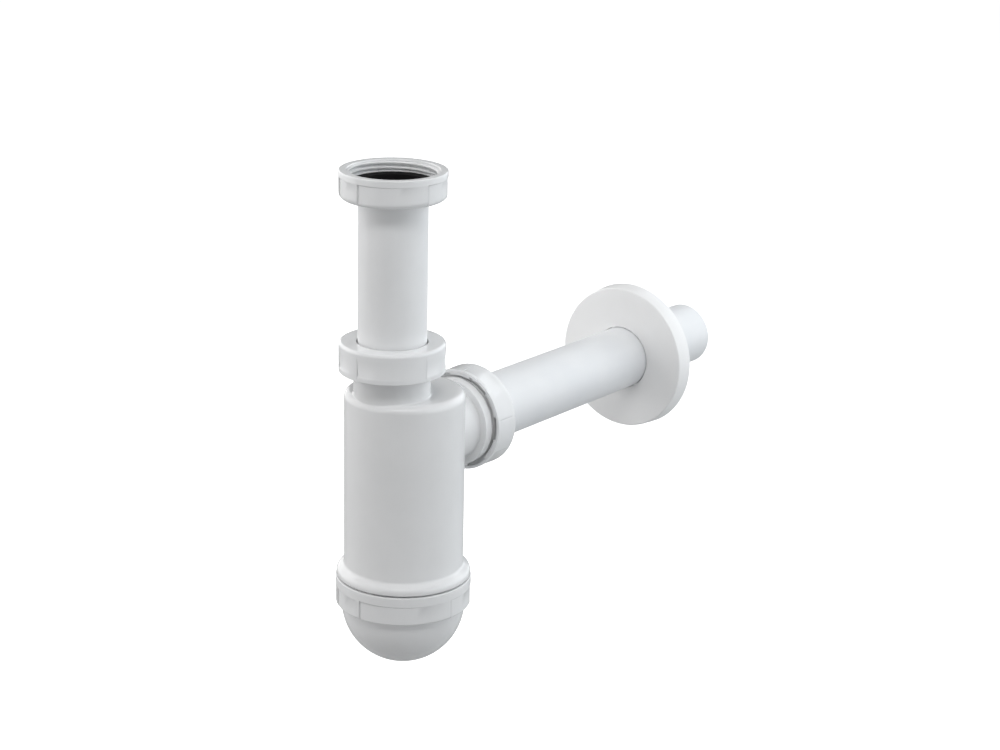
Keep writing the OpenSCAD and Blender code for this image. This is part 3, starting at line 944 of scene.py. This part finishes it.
# %% Close the net, add its threads and set it on its body
wall = mesh_object("bottle", net.points, net.faces)
open_edges, volume = face_outwards(wall, weld=True)
print("open edges", open_edges, "volume cm3", round(volume, 1))
RIDGE, RIDGE_WIDE = 1.15, 1.1
neck_thread = thread(bottle_finish, CORE_R, RIDGE, RIDGE_WIDE, NUT_PITCH, thread_low + 0.3,
                     neck_mouth - 0.5, neck_nut_low.z)
foot_thread = thread(bottle_finish, BODY_R + 0.1, 0.75, 1.9, CUP_PITCH, foot_low + 1.2, flange_low - 1.2, 0)
foot_thread.data.transform(ON_BOTTLE)
outlet_thread = thread(bottle_finish, CORE_R, RIDGE, RIDGE_WIDE, NUT_PITCH, branch_end + 5.0,
                       mouth_y - 0.5, outlet_nut_low.y)
outlet_thread.data.transform(ALONG_OUTLET)
finish_piece("bottle_moulding", [wall, neck_thread, foot_thread, outlet_thread], bottle_finish, "bottle",
             "bottle_body")

# %% [markdown]
# ## The cleaning cup and its seal
# The cup screws off downwards to clear the trap. Its ring has the same grip panels as the nuts, with a
# deeper plain collar on top, and its bowl is half a ball. Ring and bowl are one outline, turned in one go,
# so no seam shows between them. A flat rubber ring seals the foot of the bottle.

# %% Cup
cup_top = cup_high.z
CUP_RING, CUP_COLLAR, CUP_WALL = 14.1, 4.4, 2.7
bowl_z = cup_top - CUP_RING
BOWL_R = bowl_z - cup_low.z
BOWL_BORE_R = BOWL_R - 2.5
cup_bore = CUP_R - CUP_WALL
cup_floor = bowl_z + 1.5
BALL_STEPS = 26


def quarter(radius):
    """From the bowl's lowest point up to its rim."""
    turns = [math.pi / 2 * k / BALL_STEPS for k in range(BALL_STEPS + 1)]
    return [(radius * math.sin(a), bowl_z - radius * math.cos(a)) for a in turns]


ring_corners = rounded([
    (BOWL_R, bowl_z, 0), (BOWL_R + 0.05, bowl_z + 0.1, 0), (CUP_R, bowl_z + 0.2, 2.3),
    (CUP_R, bowl_z + 3.2, 0), *collar_rows(CUP_R, cup_top - CUP_COLLAR),
    (CUP_R, cup_top, 0.4), (cup_bore + 0.6, cup_top, 0.15), (cup_bore, cup_top - 0.8, 0.1),
    (cup_bore, cup_floor, 0.3), (BOWL_BORE_R, cup_floor, 0.3), (BOWL_BORE_R, bowl_z, 0)],
    closed=False, steps=7)
cup_outline = quarter(BOWL_R)[:-1] + ring_corners[:-1] + quarter(BOWL_BORE_R)[::-1]
cup = turned("cup", cup_outline, grip_angles(CUP_WIDE))
press_grip(cup, cup_finish, CUP_R, bowl_z - 1, cup_top - CUP_COLLAR, wide=CUP_WIDE)
cup_ridge = thread(cup_finish, cup_bore, -0.72, 1.7, CUP_PITCH, bowl_z + 4.6, cup_top - 1.4, CUP_PITCH / 2)
finish_piece("cleaning_cup_moulding", [cup, cup_ridge], cup_finish, "cup", "bottom_cup",
             ON_BOTTLE)

# %% Cup seal
seal_out, seal_in = (cup_seal_high.x - cup_seal_low.x) / 2, BOWL_BORE_R + 0.2
flat_seal = turned("cup seal", rounded([
    (seal_in, cup_seal_low.z, 0.4), (seal_out, cup_seal_low.z, 0.5), (seal_out, cup_seal_high.z, 0.5),
    (seal_in, cup_seal_high.z, 0.4)]))
finish_piece("cup_seal_ring", [flat_seal], seal_finish, "cup_gasket", "cup_seal",
             ON_BOTTLE)

# %% [markdown]
# ## The outlet pipe and the wall rosette
# The pipe runs into the wall, with a fine groove that marks how deep it goes. The rosette is a thin disc
# with a turned-back rim that hides the hole in the tiles, and a short sleeve inside it keeps it in place.
# A flat disc with a thickness would look solid from behind, so the hollow back is part of the outline.

# %% Pipe
groove_low = rosette_high.y + 1.5
groove_high, groove_r = groove_low + 1.0, PIPE_R - 0.3
pipe = turned("pipe", rounded([
    (BORE_R, pipe_low.y, 0.3), (PIPE_R, pipe_low.y, 0.6), *even_rows(PIPE_R, pipe_low.y, groove_low),
    (PIPE_R, groove_low, 0.08), (groove_r, groove_low, 0.08), (groove_r, groove_high, 0.08),
    (PIPE_R, groove_high, 0.08), (PIPE_R, pipe_high.y, 0.6), (BORE_R, pipe_high.y, 0.4)]))
finish_piece("outlet_pipe_wall", [pipe], pipe_finish, "outlet", "outlet_pipe",
             ALONG_OUTLET)

# %% Rosette
front, rear = rosette_low.y, rosette_high.y
ROSETTE_WALL = 1.8
behind, hub_end = front + ROSETTE_WALL, front + 5.4
front_r = ROSETTE_R - 0.75
hub_r = PIPE_R + 0.3
hub_out = hub_r + ROSETTE_WALL
disc = turned("rosette", rounded([
    (hub_r, front, 0.35), (front_r, front, 0.8), (ROSETTE_R, rear, 0.3),
    (ROSETTE_R - ROSETTE_WALL, rear, 0.3),
    (front_r - ROSETTE_WALL, behind, 0.8), (hub_out, behind, 0.6), (hub_out, hub_end, 0.4),
    (hub_r, hub_end, 0.3)], steps=6), even_angles(160))
finish_piece("wall_rosette_disc", [disc], rosette_finish, "rosette", "wall_rosette",
             ALONG_OUTLET)

# %% [markdown]
# ## Floor and light
# The trap hangs over a plain pale floor, low enough that no piece reaches it when the joints move. Wide
# soft lamps stand to both sides and above, and the front is left darker, which gives round white walls
# their grey middle and bright edges. Brighter lamps would also make the floor white, but they would wash
# out the trap. So floor and sky glow for the camera only, and that glow lights nothing.

# %% Floor
FLOOR_DROP = 0.09
FLOOR_SIZE = 30.0
FLOOR_SHADE = 0.42
FLOOR_GLOW = 1.0
floor_mesh = bpy.data.meshes.new("floor")
half = FLOOR_SIZE / 2
floor_z = CAD_LOW.z - FLOOR_DROP
floor_corners = [(x * half, y * half, floor_z) for x, y in ((-1, -1), (1, -1), (1, 1), (-1, 1))]
floor_mesh.from_pydata(floor_corners, [], [(0, 1, 2, 3)])
floor = bpy.data.objects.new("floor", floor_mesh)
bpy.context.scene.collection.objects.link(floor)
paint = bpy.data.materials.new("pale floor paint")
paint.use_nodes = True
tree = Tree(paint.node_tree)
seen = tree.node("ShaderNodeLightPath").also("Is Camera Ray")
matt = paint.node_tree.nodes["Principled BSDF"]
matt.inputs["Base Color"].default_value = (FLOOR_SHADE, FLOOR_SHADE, FLOOR_SHADE, 1)
matt.inputs["Roughness"].default_value = 0.9
matt.inputs["Specular IOR Level"].default_value = 0.1
matt.inputs["Emission Color"].default_value = (1, 1, 1, 1)
paint.node_tree.links.new((seen * FLOOR_GLOW).out, matt.inputs["Emission Strength"])
floor_mesh.materials.append(paint)
floor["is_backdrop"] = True

# %% World and lamps
SKY = 1.05
world = bpy.data.worlds.new("studio")
bpy.context.scene.world = world
world.use_nodes = True
tree = Tree(world.node_tree)
seen = tree.node("ShaderNodeLightPath").also("Is Camera Ray")
backdrop = world.node_tree.nodes["Background"]
backdrop.inputs["Color"].default_value = (1, 1, 1, 1)
world.node_tree.links.new((seen * SKY).out, backdrop.inputs["Strength"])
middle = (CAD_LOW + CAD_HIGH) / 2


def lamp(name, away, high, turn, width, tall, power, colour=(1, 1, 1)):
    """A soft lamp at an angle around the trap, counted from the camera's side, looking at its middle."""
    around = VIEW_AZIMUTH + math.radians(turn)
    spot = middle + Vector((math.sin(around) * away, -math.cos(around) * away, high))
    light = bpy.data.lights.new(name, "AREA")
    light.shape, light.size, light.size_y, light.energy = "RECTANGLE", width, tall, power
    light.color = colour
    obj = bpy.data.objects.new(name, light)
    obj.location = spot
    obj.rotation_euler = (middle - spot).to_track_quat("-Z", "Y").to_euler()
    obj.visible_camera = False
    bpy.context.scene.collection.objects.link(obj)


COOL, WHITE = (0.93, 0.97, 1.0), (1, 1, 1)
SIDE_AWAY, SIDE_HIGH, SIDE_WIDE, SIDE_TALL = 1.3, 0.35, 1.0, 1.4
lamp("soft lamp above", 0.15, 1.4, 180, 1.8, 1.8, 5.6)
lamp("soft lamp front", 0.9, 1.2, 0, 1.1, 0.28, 8.0)
lamp("soft lamp low front", 1.5, 0.1, 0, 1.6, 1.0, 0.9)
for side, turn, power, colour in (
        ("near right", 60, 7.0, COOL), ("right", 100, 7.4, COOL), ("right back", 140, 8.4, COOL),
        ("near left", -55, 4.4, WHITE), ("left", -100, 8.6, WHITE), ("left back", -140, 7.4, WHITE)):
    lamp("soft lamp " + side, SIDE_AWAY, SIDE_HIGH, turn, SIDE_WIDE, SIDE_TALL, power, colour)
print("lamps", len(bpy.data.lights))
bpy.context.scene.view_settings.view_transform = "Standard"

# %% Take the box around everything shown
low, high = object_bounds()
